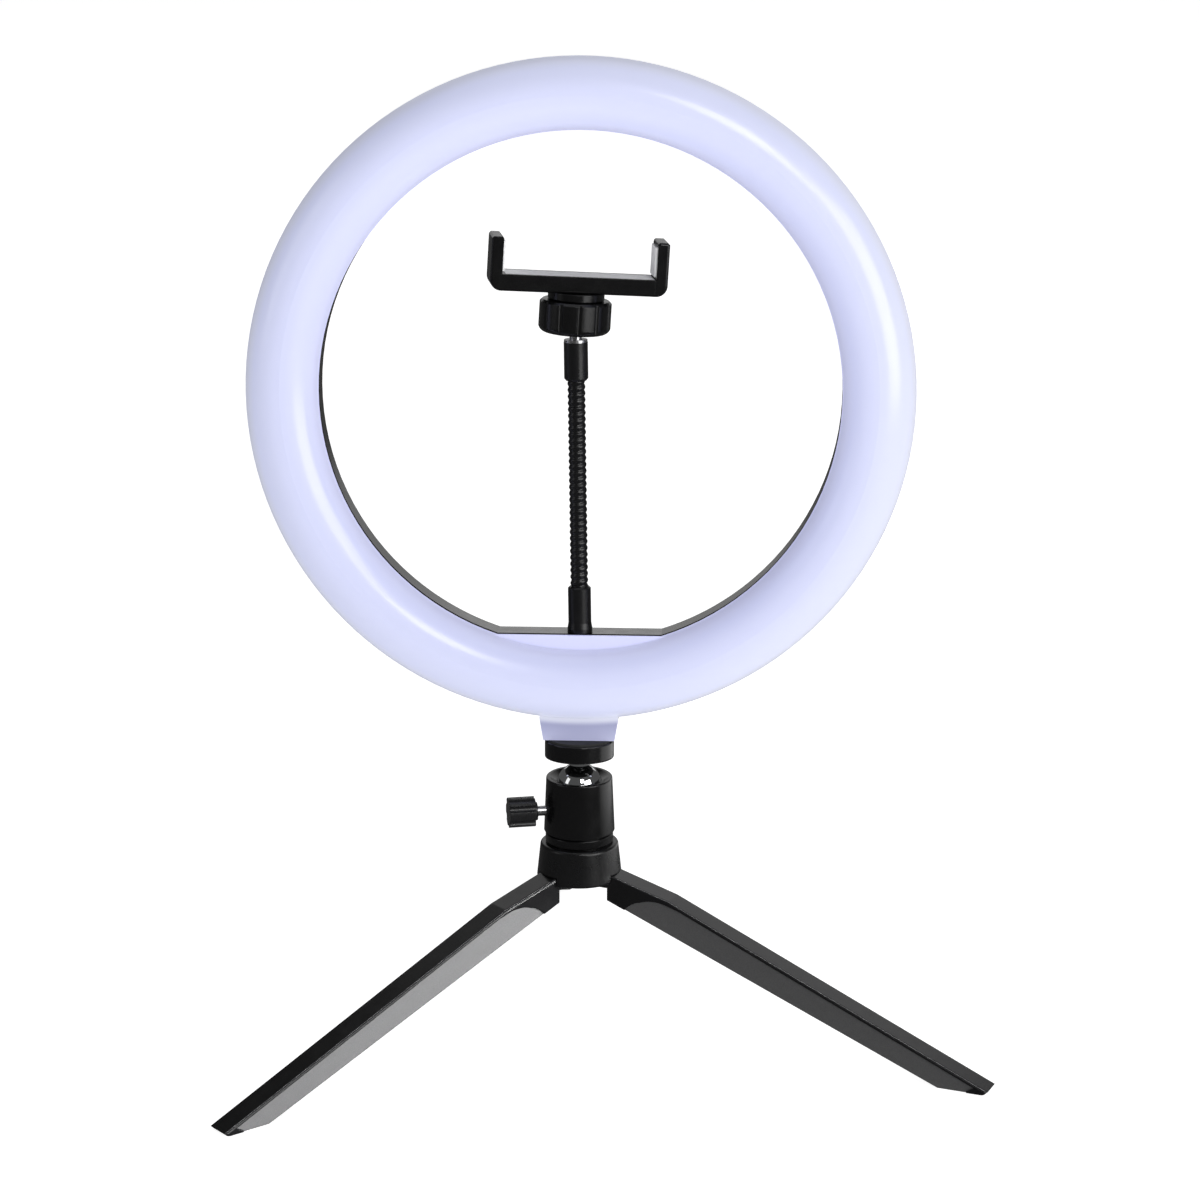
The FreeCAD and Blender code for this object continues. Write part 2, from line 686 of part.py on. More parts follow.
def disc_pad():
    pad = cylinder("pad_blank", "disc_radius - 0.7", "pad_thick", at=(0, 0, "disc_drop + disc_thick"))
    return cut(
        "pad_cut",
        pad,
        cylinder("pad_eye", "stud_hole", "pad_thick", at=(0, 0, "disc_drop + disc_thick")),
    )


def head_stud():
    return cylinder("stud_blank", "stud_radius", "disc_thick + pad_thick + 7", at=(0, 0, "disc_drop"))


def make_mount():
    sub_part("ball", ball("ball_blank", "ball_radius"), MOUNT)
    sub_part("ball_stem", ball_stem(), MOUNT)
    sub_part("head_disc", head_disc(), MOUNT)
    sub_part("disc_pad", disc_pad(), MOUNT)
    sub_part("head_stud", head_stud(), MOUNT)


# ---------------------------------------------------------------- lit ring
def segment(name, radius, low, high):
    """The slice of a disc below the opening's flat edge, from low to high along Y."""
    disc = cylinder(name + "_disc", radius, f"{high} - ({low})", at=(0, high, 0), rotation=TURN_X)
    slab = block(
        name + "_slab", "2 * hole_radius", f"{high} - ({low})", "ring_radius",
        at=("-hole_radius", low, "-chord_drop - ring_radius"),
    )
    return common(name, disc, slab)


def stub(name, low, high):
    """The tapered foot that carries the thread, from low to high along Y."""
    corners = [
        ("-stub_top_half", "-ring_radius + 6"),
        ("-stub_top_half", "-ring_radius"),
        ("-stub_foot_half", "-stub_drop"),
        ("stub_foot_half", "-stub_drop"),
        ("stub_top_half", "-ring_radius"),
        ("stub_top_half", "-ring_radius + 6"),
    ]
    body = plate(name, corners, f"{high} - ({low})", plane="XZ_Plane", both_ways=True)
    put(body, at=(0, f"({high} + ({low})) / 2", 0))
    return body


def screw_spots():
    """Angles of the housing screws about the ring's axis, clear of stub and gooseneck."""
    count = int(VALUES["screw_count"])
    return [360.0 * (index + 0.5) / count for index in range(count)]


def on_circle(radius, degrees):
    """Expressions of a point on a circle about the ring's axis."""
    across = math.sin(math.radians(degrees))
    up = math.cos(math.radians(degrees))
    return f"{radius} * {across:.6f}", f"{radius} * {up:.6f}"


def rear_housing():
    tray = turned(
        "housing_tray",
        [
            ("hole_radius", 0),
            ("housing_edge", 0),
            ("housing_edge - 1.6", "housing_shoulder"),
            ("housing_back", "housing_depth"),
            ("hole_radius + housing_lip", "housing_depth"),
            ("hole_radius", "housing_depth - housing_lip"),
        ],
        {2: "9", 4: "housing_lip"},
        axis="Y",
    )
    hollow = turned(
        "housing_hollow",
        [
            ("hole_radius + shell_wall", "-1"),
            ("housing_edge - shell_wall", "-1"),
            ("housing_edge - 1.6 - shell_wall", "housing_shoulder"),
            ("housing_back - shell_wall", "housing_depth - shell_wall"),
            ("hole_radius + shell_wall", "housing_depth - shell_wall"),
        ],
        {2: "8"},
        axis="Y",
    )
    posts = []
    holes = []
    for index, degrees in enumerate(screw_spots()):
        x, z = on_circle("screw_circle", degrees)
        posts.append(cylinder(
            f"post_{index}", "post_radius", "housing_depth - shell_wall - board_depth - board_thick",
            at=(x, "housing_depth - shell_wall", z), rotation=TURN_X,
        ))
        holes.append(
            cylinder(
                f"post_hole_{index}",
                "screw_hole",
                "housing_depth + 2",
                at=(x, "housing_depth + 1", z),
                rotation=TURN_X,
            ),
        )
        holes.append(
            cylinder(
                f"post_sink_{index}",
                "screw_head + 0.3",
                4.0,
                at=(x, "housing_depth + 1", z),
                rotation=TURN_X,
            ),
        )
    shell = cut("housing_shell", tray, hollow)
    web = segment("housing_web", "hole_radius + 0.5", 0, "housing_depth - housing_lip")
    foot = stub("housing_stub", 0, "housing_depth - 2")
    blank = fuse("housing_blank", shell, web, foot, *posts)
    insert_hole = cylinder("insert_hole", "insert_radius", 9.5, at=(0, "head_back", "-stub_drop"))
    tail_hole = cylinder("tail_hole", "tail_radius", "tail_long", at=(0, 0, "-tail_long"))
    tail_seat = cylinder("tail_seat", "ferrule_flare + 0.1", 2)
    tail_room = moved(fuse("tail_room", tail_hole, tail_seat), arm_frame(Placement()))
    gland_hole = cylinder(
        "gland_hole", "gland_radius", 6, at=(0, "housing_depth + 1", "-gland_height"), rotation=TURN_X,
    )
    return cut("housing_cut", blank, insert_hole, tail_room, gland_hole, *holes)


def diffuser():
    """One moulding: hollow crown, flat web along the opening's lower edge and flat front of the stub."""
    crown_radius = "((ring_radius - hole_radius)^2 / 4 + dome_height^2) / (2 * dome_height)"
    middle = "(ring_radius + hole_radius) / 2"
    crown = turned(
        "diffuser_crown",
        [
            ("hole_radius", 0),
            ("ring_radius", 0),
            (middle, "-dome_height"),
        ],
        {1: f"-({crown_radius})", 2: f"-({crown_radius})"},
        axis="Y",
    )
    inside = turned(
        "diffuser_inside",
        [
            ("hole_radius + shell_wall", 0.5),
            ("ring_radius - shell_wall - 1.4", 0.5),
            ("ring_radius - shell_wall - 1.4", 0),
            (middle, "-dome_height + shell_wall"),
            ("hole_radius + shell_wall", 0),
        ],
        {2: f"-({crown_radius} - 1)", 3: f"-({crown_radius} - 1)"},
        axis="Y",
    )
    shell = cut("diffuser_shell", crown, inside)
    web = segment("diffuser_web", "hole_radius + 1", "-flange_depth", 0)
    foot = cut(
        "diffuser_foot",
        stub("diffuser_stub", "-flange_depth", 0),
        cylinder("diffuser_foot_clear", "ring_radius - 1", 40, at=(0, 20, 0), rotation=TURN_X),
    )
    return fuse("diffuser_blank", shell, web, foot)


def led_board():
    ring = turned(
        "board_ring",
        [
            ("board_inner", "board_depth"),
            ("board_outer", "board_depth"),
            ("board_outer", "board_depth + board_thick"),
            ("board_inner", "board_depth + board_thick"),
        ],
        axis="Y",
    )
    holes = []
    for index, degrees in enumerate(screw_spots()):
        x, z = on_circle("screw_circle", degrees)
        holes.append(
            cylinder(
                f"board_hole_{index}", "screw_hole", 4, at=(x, "board_depth + 3", z), rotation=TURN_X,
            ),
        )
    return cut("board_cut", ring, *holes)


def leds():
    """Two rows of emitters on the front of the board, one solid each."""
    count = int(VALUES["led_count"])
    emitters = []
    for row_name, row_radius, offset in (("warm", "led_inner_row", 0.0), ("cool", "led_outer_row", 0.5)):
        for index in range(count):
            degrees = 360.0 * (index + offset) / count
            turn = Rotation(Vector(0, 1, 0), degrees)
            emitter = doc.addObject("Part::Box", f"led_{row_name}_{index}")
            bind(emitter, Length="led_long", Width="led_tall", Height="led_wide")
            corner = Vector(
                -VALUES["led_long"] / 2, VALUES["board_depth"] - VALUES["led_tall"], VALUES[row_radius],
            )
            emitter.Placement = Placement(Vector(), turn).multiply(Placement(corner, LEVEL))
            emitters.append(emitter)
    return group("led_group", emitters)


def housing_screws():
    """Round-headed screws sunk in the back, one solid each."""
    screws = []
    for index, degrees in enumerate(screw_spots()):
        x, z = on_circle("screw_circle", degrees)
        head = cylinder(
            f"screw_head_{index}", "screw_head", 1.5, at=(x, "housing_depth - 1", z), rotation=TURN_X,
        )
        shank = cylinder(
            f"screw_shank_{index}",
            "screw_shank",
            "housing_depth - 2.5 - 1",
            at=(x, "housing_depth - 2.5", z),
            rotation=TURN_X,
        )
        slot_long = block(
            f"screw_slot_a_{index}",
            3.0,
            1.0,
            0.6,
            at=(f"{x} - 1.5", "housing_depth - 1.8", f"{z} - 0.3"),
        )
        slot_high = block(
            f"screw_slot_b_{index}",
            0.6,
            1.0,
            3.0,
            at=(f"{x} - 0.3", "housing_depth - 1.8", f"{z} - 1.5"),
        )
        screws.append(
            cut(f"screw_{index}", fuse(f"screw_blank_{index}", head, shank), slot_long, slot_high)
        )
    return group("screw_group", screws)


def wiring_board():
    """The small board at the foot of the housing where the lead is soldered."""
    return block(
        "wiring_blank",
        22,
        "board_thick",
        9,
        at=(-11, "board_depth + board_thick + 2", "-gland_height - 4.5"),
    )


def cable_gland():
    body = turned(
        "gland_turning",
        [
            ("gland_bore", "housing_depth - 5"),
            ("gland_radius", "housing_depth - 5"),
            ("gland_radius", "housing_depth"),
            ("gland_flange", "housing_depth"),
            ("gland_flange - 0.6", "housing_depth + 1.4"),
            ("gland_bore + 1.5", "housing_depth + 1.4"),
            ("gland_bore + 1.1", "housing_depth + 6"),
            ("gland_bore", "housing_depth + 6"),
        ],
        axis="Y",
    )
    put(body, at=(0, 0, "-gland_height"))
    return body


def thread_insert():
    outer = cylinder("insert_outer", "insert_radius", 9, at=(0, "head_back", "-stub_drop"))
    return cut(
        "insert_cut", outer, cylinder("insert_bore", "stud_hole", 9, at=(0, "head_back", "-stub_drop")),
    )


def make_head():
    sub_part("diffuser", diffuser(), HEAD)
    sub_part("rear_housing", rear_housing(), HEAD)
    sub_part("led_board", led_board(), HEAD)
    sub_part("leds", leds(), HEAD)
    sub_part("housing_screws", housing_screws(), HEAD)
    sub_part("wiring_board", wiring_board(), HEAD)
    sub_part("cable_gland", cable_gland(), HEAD)
    sub_part("thread_insert", thread_insert(), HEAD)


# ---------------------------------------------------------------- gooseneck
HOSE_FOOT = "ferrule_long"
LINK_PITCH = "hose_long / hose_joints"


def lower_ferrule():
    return turned(
        "ferrule_turning",
        [
            (0, "-tail_long"),
            ("tail_radius", "-tail_long"),
            ("tail_radius", 0),
            ("ferrule_flare", 0.02),
            ("ferrule_flare", 1.6),
            ("ferrule_radius", 4.0),
            ("ferrule_radius", "ferrule_long - 0.6"),
            ("ferrule_radius - 0.6", "ferrule_long"),
            (0, "ferrule_long"),
        ],
    )


def arm_nut():
    """The nut inside the housing that holds the gooseneck's tail."""
    foot = (0, 0, "-tail_long + 0.2")
    bore = cylinder("arm_nut_bore", "tail_radius", 2.0, at=foot)
    return cut("arm_nut_cut", cylinder("arm_nut_blank", 5.0, 2.0, at=foot), bore)


def joint_height(index):
    """Height of a bending joint, 1 to hose_joints, above the opening's flat edge."""
    return f"{HOSE_FOOT} + ({index} - 0.5) * {LINK_PITCH}"


def hose_link(index):
    """One link of the hose: a ball below and a seat above, except at the two ends."""
    last = int(VALUES["hose_joints"])
    low = HOSE_FOOT if index == 0 else f"{joint_height(index)} + link_gap"
    high = f"{HOSE_FOOT} + hose_long" if index == last else f"{joint_height(index + 1)} - link_gap"
    feature = cylinder(f"link_tube_{index}", "hose_radius", f"{high} - ({low})", at=(0, 0, low))
    if index > 0:
        neck = cylinder(
            f"link_neck_{index}", "link_ball * 0.6", "link_gap + 0.5", at=(0, 0, joint_height(index)),
        )
        feature = fuse(
            f"link_joined_{index}",
            feature,
            ball(f"link_ball_{index}", "link_ball", at=(0, 0, joint_height(index))),
            neck,
        )
    if index < last:
        feature = cut(
            f"link_seated_{index}",
            feature,
            ball(f"link_seat_{index}", "link_ball + ball_gap", at=(0, 0, joint_height(index + 1))),
        )
    return feature


def upper_ferrule():
    foot = f"{HOSE_FOOT} + hose_long"
    return turned(
        "upper_turning",
        [
            (0, foot),
            ("upper_radius - 0.7", foot),
            ("upper_radius", f"{foot} + 0.9"),
            ("upper_radius", f"{foot} + upper_long"),
            (0, f"{foot} + upper_long"),
        ],
    )


def clamp_ball():
    """Steel ball on a waisted stem with a small flange on the upper ferrule."""
    foot = f"{HOSE_FOOT} + hose_long + upper_long"
    stem = cylinder("clamp_stem", "neck_stud", f"clamp_rise - ({foot})", at=(0, 0, foot))
    flange = cylinder("clamp_flange", "upper_radius - 0.1", 1.0, at=(0, 0, foot))
    return fuse(
        "clamp_ball_blank",
        stem,
        flange,
        ball("clamp_ball_sphere", "clamp_ball_radius", at=(0, 0, "clamp_rise")),
    )


def make_arm():
    sub_part("lower_ferrule", lower_ferrule(), ARM)
    sub_part("arm_nut", arm_nut(), ARM)
    for index in range(int(VALUES["hose_joints"]) + 1):
        sub_part(f"gooseneck_link_{index}", hose_link(index), ARM)
    sub_part("upper_ferrule", upper_ferrule(), ARM)
    sub_part("clamp_ball", clamp_ball(), ARM)


# ---------------------------------------------------------------- phone clamp
def clamp_collet():
    """The split plastic ring between the ball and its socket."""
    inner = "clamp_ball_radius + collet_gap"
    outer = "clamp_ball_radius + collet_gap + collet_wall"
    return turned(
        "collet_turning",
        [
            (f"sqrt(({inner})^2 - 3.4^2)", -3.4),
            (f"sqrt(({outer})^2 - 3.4^2)", -3.4),
            (f"sqrt(({outer})^2 - 3.4^2)", 3.4),
            (f"sqrt(({inner})^2 - 3.4^2)", 3.4),
        ],
        {1: outer, 3: f"-({inner})"},
    )


def clamp_socket():
    blank = turned(
        "socket_turning",
        [
            (0, -3.0),
            ("socket_skirt", -3.0),
            ("socket_skirt", "nut_top"),
            ("socket_neck", "nut_top + 0.4"),
            ("socket_neck", "bar_foot"),
            (0, "bar_foot"),
        ],
    )
    cavity = ball("socket_cavity", "clamp_ball_radius + collet_wall + 2 * collet_gap")
    rivet_hole = cylinder("socket_rivet_hole", 1.5, 1.2, at=(0, 0, "bar_foot - 1.2"))
    return cut("socket_cut", blank, cavity, rivet_hole)


def lock_nut():
    blank = turned(
        "nut_turning",
        [
            (10.2, "-nut_foot"),
            ("nut_radius - 2.2", "-nut_foot"),
            ("nut_radius", "-nut_foot + 2.2"),
            ("nut_radius", "nut_top - 1.0"),
            ("nut_radius - 1.0", "nut_top"),
            ("nut_bore", "nut_top"),
            ("nut_bore", -4.2),
            (6.3, -4.2),
        ],
        {1: "3.2"},
    )
    flutes = []
    for index in range(int(VALUES["nut_flutes"])):
        angle = math.radians(360.0 / VALUES["nut_flutes"] * index)
        flutes.append(cylinder(
            f"nut_flute_{index}", 1.0, "nut_foot + nut_top + 2",
            at=(
                f"(nut_radius + 0.4) * {math.cos(angle):.6f}",
                f"(nut_radius + 0.4) * {math.sin(angle):.6f}",
                "-nut_foot - 1",
            ),
        ))
    return cut("nut_cut", blank, *flutes)


def jaw_profile(side):
    """Front outline of a jaw from its foot up. side is -1 for the fixed jaw, 1 for the sliding one."""
    return [
        (f"{side} * (jaw_outer - jaw_round)", "bar_foot"),
        (f"{side} * jaw_outer", "bar_foot + jaw_round"),
        (f"{side} * jaw_outer", "jaw_top - 0.8"),
        (f"{side} * (jaw_outer - 0.8)", "jaw_top"),
        (f"{side} * (jaw_inner + 0.6)", "jaw_top"),
        (f"{side} * jaw_inner", "jaw_top - 0.6"),
    ]


def soften(name, body, edges_of):
    """Rounds the long front and back edges of a clamp piece."""
    doc.recompute()
    last = body.Tip
    chosen = []
    half = VALUES["bar_deep"] / 2
    for index, edge in enumerate(last.Shape.Edges, start=1):
        middle = edge.valueAt((edge.FirstParameter + edge.LastParameter) / 2)
        if abs(abs(middle.y) - half) < 1e-6 and edges_of(middle):
            chosen.append(f"Edge{index}")
    fillet = body.newObject("PartDesign::Fillet", name)
    fillet.Base = (last, chosen)
    fillet.Radius = 1.0
    doc.recompute()
    return body


def clamp_body():
    bar = [("jaw_inner - 0.1", "bar_foot")]
    bar_top = [("-jaw_inner", "bar_foot + bar_high"), ("jaw_inner - 0.1", "bar_foot + bar_high")]
    body = plate(
        "clamp_body_blank",
        bar + jaw_profile(-1) + bar_top,
        "bar_deep",
        {1: "-jaw_round"},
        plane="XZ_Plane",
    )
    inner_end = VALUES["jaw_inner"] - 0.2
    top = VALUES["bar_foot"] + VALUES["bar_high"] - 0.1
    soften("clamp_body_edges", body, lambda p: p.x < inner_end and p.z < top)
    channel = block(
        "clamp_channel", "2 * jaw_inner", "channel_deep", "channel_high",
        at=("-jaw_inner + 2", "-channel_deep / 2", "channel_floor"),
    )
    head_room = cylinder("rivet_room", 3.4, 1.1, at=(0, 0, "channel_floor - 1"))
    rivet_hole = cylinder("body_rivet_hole", 1.55, 4, at=(0, 0, "bar_foot - 0.5"))
    lid_room = block(
        "clamp_lid_room", "2 * jaw_inner", "cushion_deep", "bar_high",
        at=("-jaw_inner + 1.5", "-cushion_deep / 2", "channel_floor + channel_high"),
    )
    return cut("clamp_body_cut", body, channel, head_room, rivet_hole, lid_room)


def clamp_lid():
    """The plate that closes the slide."""
    return block(
        "clamp_lid_blank", "2 * jaw_inner - 2", "cushion_deep",
        "bar_foot + bar_high - cushion_thick - channel_floor - channel_high",
        at=("-jaw_inner + 1.5", "-cushion_deep / 2", "channel_floor + channel_high"),
    )


def clamp_jaw():
    """Sliding jaw: the upright end with a forked tongue that runs in the slide."""
    foot = [("jaw_inner", "bar_foot")]
    body = plate(
        "clamp_jaw_blank", foot + jaw_profile(1), "bar_deep", {1: "jaw_round"}, plane="XZ_Plane",
    )
    inner_end = VALUES["jaw_inner"]
    soften("clamp_jaw_edges", body, lambda p: p.x > inner_end + 0.1)
    tongue = block(
        "clamp_tongue", "tongue_long", "channel_deep - 2 * slide_gap", "channel_high - 2 * slide_gap",
        at=("jaw_inner - tongue_long", "-channel_deep / 2 + slide_gap", "channel_floor + slide_gap"),
    )
    fork = block(
        "clamp_fork", 26, 3.4, "channel_high",
        at=("jaw_inner - tongue_long", -1.7, "channel_floor"),
    )
    return fuse("clamp_jaw_joined", body, cut("clamp_tongue_cut", tongue, fork))


def jaw_spring():
    """The spring that draws the jaw in, as its outer shape with hooked ends left out."""
    outer = cylinder(
        "spring_outer",
        "spring_radius",
        23.2,
        at=(-24.6, 0, "channel_floor + channel_high / 2"),
        rotation=TURN_Y,
    )
    inner = cylinder(
        "spring_inner",
        "spring_radius - 0.5",
        23.2,
        at=(-24.6, 0, "channel_floor + channel_high / 2"),
        rotation=TURN_Y,
    )
    return cut("spring_cut", outer, inner)


def swivel_rivet():
    shank = cylinder(
        "rivet_shank", 1.5, "channel_floor - 1 - bar_foot + 1.2", at=(0, 0, "bar_foot - 1.2"),
    )
    head = cylinder("rivet_head", 3.2, 0.9, at=(0, 0, "channel_floor - 1"))
    return fuse("rivet_blank", shank, head)


def bar_cushion():
    return block(
        "bar_cushion_blank", "2 * jaw_inner - 2", "cushion_deep", "cushion_thick",
        at=("-jaw_inner + 1.5", "-cushion_deep / 2", "bar_foot + bar_high - cushion_thick"),
    )


def jaw_cushion(name, side):
    """A soft pad on the inner face of a jaw."""
    corner = "-jaw_inner" if side < 0 else "jaw_inner - cushion_thick"
    return block(
        name,
        "cushion_thick",
        "cushion_deep",
        11.5,
        at=(corner, "-cushion_deep / 2", "bar_foot + bar_high + 1"),
    )


def make_clamp():
    sub_part("clamp_collet", clamp_collet(), CLAMP)
    sub_part("clamp_socket", clamp_socket(), CLAMP)
    sub_part("lock_nut", lock_nut(), CLAMP)
    sub_part("swivel_rivet", swivel_rivet(), CLAMP)
    sub_part("clamp_body", clamp_body(), CLAMP)
    sub_part("clamp_lid", clamp_lid(), CLAMP)
    sub_part("clamp_jaw", clamp_jaw(), CLAMP)
    sub_part("jaw_spring", jaw_spring(), CLAMP)
    sub_part("bar_cushion", bar_cushion(), CLAMP)
    sub_part("fixed_jaw_cushion", jaw_cushion("fixed_cushion", -1), CLAMP)
    sub_part("sliding_jaw_cushion", jaw_cushion("sliding_cushion", 1), CLAMP)


# ---------------------------------------------------------------- whole object
def stand_on_floor():
    """Moves every sub-part so that the origin is under the middle of the whole object."""
    whole = FreeCAD.BoundBox()
    for feature in PARTS.values():
        whole.add(feature.Shape.optimalBoundingBox(False, False))
    shift = Vector(-whole.Center.x, -whole.Center.y, -whole.ZMin)
    for feature in PARTS.values():
        feature.Placement = Placement(shift, LEVEL).multiply(feature.Placement)
    doc.recompute()
    return shift


def check_document():
    """Stops before writing if any feature failed or any sub-part is not a valid shape."""
    failed = [item.Name for item in doc.Objects if "Invalid" in item.State or "Error" in item.State]
    bad = [
        label for label, feature in PARTS.items() if feature.Shape.isNull() or not feature.Shape.isValid()
    ]
    if failed or bad:
        raise RuntimeError(f"features that failed: {failed}; sub-parts that are not valid: {bad}")


def write_parts():
    os.makedirs("parts", exist_ok=True)
    for label, feature in PARTS.items():
        feature.Shape.exportStep(os.path.join("parts", label + ".step"))


make_stand()
make_mount()
make_head()
make_arm()
make_clamp()
shift = stand_on_floor()
check_document()
write_parts()
print("sub-parts:", len(PARTS))
print("ball's centre:", [round(value, 4) for value in shift])
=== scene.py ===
import json
import math

import bpy
from mathutils import Matrix, Vector


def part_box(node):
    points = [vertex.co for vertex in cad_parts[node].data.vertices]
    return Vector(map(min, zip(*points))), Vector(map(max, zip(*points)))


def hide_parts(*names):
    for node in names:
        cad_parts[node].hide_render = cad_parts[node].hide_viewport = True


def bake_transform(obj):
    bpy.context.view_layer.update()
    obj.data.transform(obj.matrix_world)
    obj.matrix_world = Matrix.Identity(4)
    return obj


# Looks for the desk ring light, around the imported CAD. Metres, +Z up, the lit side faces -Y.

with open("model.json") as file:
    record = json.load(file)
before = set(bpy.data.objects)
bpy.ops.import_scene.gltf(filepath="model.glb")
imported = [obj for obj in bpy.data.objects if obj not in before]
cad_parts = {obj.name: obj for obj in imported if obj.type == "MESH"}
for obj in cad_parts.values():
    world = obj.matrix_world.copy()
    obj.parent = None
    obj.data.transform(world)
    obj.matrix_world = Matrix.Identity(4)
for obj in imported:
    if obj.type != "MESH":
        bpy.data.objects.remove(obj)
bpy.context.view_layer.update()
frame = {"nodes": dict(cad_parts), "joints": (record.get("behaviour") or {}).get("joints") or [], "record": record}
MM = 0.001


# ---------------------------------------------------------------- places read from the frame
def joint(name):
    return next(item for item in frame["joints"] if item["name"] == name)


# The light leans back by this angle. The ring's centre lies on its seam, above the ball's centre.
TILT = math.radians(5.0)
SEAM_BEFORE_BALL = 4.0 * MM
RING_ABOVE_BALL = 157.8 * MM
BALL = Vector(joint("light_pan")["pos_m"])
RING = BALL + Matrix.Rotation(-TILT, 4, "X") @ Vector((0, -SEAM_BEFORE_BALL, RING_ABOVE_BALL))
RING_OUTER = 130.0 * MM
RING_INNER = 101.5 * MM
RING_BEYOND_INNER = 6 * MM
RING_BEYOND_OUTER = 3 * MM
# Depth of the painted shadow line on the housing wall beside the seam.
SEAM_SHADOW = 2.2 * MM
STUB_FADE = 9 * MM
PANEL_FROM_MIDDLE = 4.8 * MM
PANEL_TOLERANCE = 0.1 * MM
HUB_EDGE = 18 * MM
LEG_NUMBERS = (1, 2, 3)


# ---------------------------------------------------------------- shader building
class Shade:
    """A Principled material with a few helpers for procedural detail in object space."""

    def __init__(self, name, colour=(0.5, 0.5, 0.5), roughness=0.5, metallic=0.0, specular=0.5):
        self.material = bpy.data.materials.new(name)
        self.material.use_nodes = True
        self.tree = self.material.node_tree
        self.shader = self.tree.nodes["Principled BSDF"]
        self.set("Base Color", (*colour, 1.0))
        self.set("Roughness", roughness)
        self.set("Metallic", metallic)
        self.set("Specular IOR Level", specular)
        self.place = self.add("ShaderNodeTexCoord").outputs["Object"]

    def set(self, socket, value):
        self.shader.inputs[socket].default_value = value

    def add(self, kind, **settings):
        node = self.tree.nodes.new(kind)
        for key, value in settings.items():
            setattr(node, key, value)
        return node

    def link(self, output, target):
        self.tree.links.new(output, target)

    def stretched(self, scale, turn=(0, 0, 0)):
        mapping = self.add("ShaderNodeMapping")
        mapping.inputs["Scale"].default_value = scale
        mapping.inputs["Rotation"].default_value = turn
        self.link(self.place, mapping.inputs["Vector"])
        return mapping.outputs["Vector"]

    def noise(self, per_metre, detail=2.0, roughness=0.5, vector=None):
        node = self.add("ShaderNodeTexNoise")
        node.inputs["Scale"].default_value = per_metre
        node.inputs["Detail"].default_value = detail
        node.inputs["Roughness"].default_value = roughness
        self.link(vector or self.place, node.inputs["Vector"])
        return node.outputs["Fac"]

    def spots(self, per_metre, vector=None):
        node = self.add("ShaderNodeTexVoronoi", feature="F1")
        node.inputs["Scale"].default_value = per_metre
        self.link(vector or self.place, node.inputs["Vector"])
        return node.outputs["Distance"]

    def spread(self, value, low, high, start=0.3, end=0.7):
        """Maps a value between start and end onto low to high, and holds it at those ends."""
        node = self.add("ShaderNodeMapRange")
        node.inputs["From Min"].default_value = start
        node.inputs["From Max"].default_value = end
        node.inputs["To Min"].default_value = low
        node.inputs["To Max"].default_value = high
        self.link(value, node.inputs["Value"])
        return node.outputs["Result"]

    def ramp(self, value, stops, smooth=False):
        node = self.add("ShaderNodeValToRGB")
        ramp = node.color_ramp
        if smooth:
            ramp.interpolation = "EASE"
        while len(ramp.elements) < len(stops):
            ramp.elements.new(1.0)
        for element, (place, colour) in zip(ramp.elements, stops):
            element.position = place
            element.color = (*colour, 1.0)
        self.link(value, node.inputs["Fac"])
        return node.outputs["Color"]

    def bump(self, height, distance, strength=1.0, base=None):
        node = self.add("ShaderNodeBump")
        node.inputs["Strength"].default_value = strength
        node.inputs["Distance"].default_value = distance
        self.link(height, node.inputs["Height"])
        if base is not None:
            self.link(base, node.inputs["Normal"])
        self.link(node.outputs["Normal"], self.shader.inputs["Normal"])
        return node.outputs["Normal"]

    def soft_edges(self, radius):
        """Shades sharp edges as if they were rounded by this radius."""
        node = self.add("ShaderNodeBevel", samples=4)
        node.inputs["Radius"].default_value = radius
        return node.outputs["Normal"]

    def maths(self, operation, first, second=None, third=None):
        node = self.add("ShaderNodeMath", operation=operation)
        for target, value in zip(node.inputs, (first, second, third)):
            if isinstance(value, (int, float)):
                target.default_value = value
            elif value is not None:
                self.link(value, target)
        return node.outputs["Value"]

    def drive(self, socket, output):
        self.link(output, self.shader.inputs[socket])

    def driver_of(self, socket):
        """The output that already feeds this socket of the shader."""
        return self.shader.inputs[socket].links[0].from_socket

    def own_axes(self, origin, turn):
        """A point's place along X, Y and Z of a frame with this origin and turn."""
        mapping = self.add("ShaderNodeMapping", vector_type="TEXTURE")
        mapping.inputs["Location"].default_value = origin
        mapping.inputs["Rotation"].default_value = turn
        self.link(self.place, mapping.inputs["Vector"])
        split = self.add("ShaderNodeSeparateXYZ")
        self.link(mapping.outputs["Vector"], split.inputs["Vector"])
        return split.outputs


def mix_colours(shade, factor, one, other):
    node = shade.add("ShaderNodeMix", data_type="RGBA")
    shade.link(factor, node.inputs["Factor"])
    for value, name in ((one, "A"), (other, "B")):
        target = [s for s in node.inputs if s.name == name and s.type == "RGBA"][0]
        if isinstance(value, tuple):
            target.default_value = (*value, 1.0)
        else:
            shade.link(value, target)
    return [s for s in node.outputs if s.type == "RGBA"][0]


def moulded(name, colour, roughness, grain, depth, specular, lift=1.25, edge=0.0):
    """Moulded plastic: even colour with a faint cloud, a fine grain and slightly uneven gloss."""
    shade = Shade(name, colour, sum(roughness) / 2, specular=specular)
    cloud = shade.noise(60, 3.0, 0.6)
    lighter = tuple(channel * lift for channel in colour)
    shade.drive("Base Color", mix_colours(shade, shade.spread(cloud, 0, 1), colour, lighter))
    shade.drive("Roughness", shade.spread(shade.noise(140, 4.0, 0.65), *roughness))
    rounded = shade.soft_edges(edge) if edge else None
    broad = shade.bump(shade.noise(260, 2.0, 0.5), depth * 0.8, 0.25, base=rounded)
    shade.bump(shade.noise(grain, 2.0, 0.6), depth, 0.6, base=broad)
    return shade


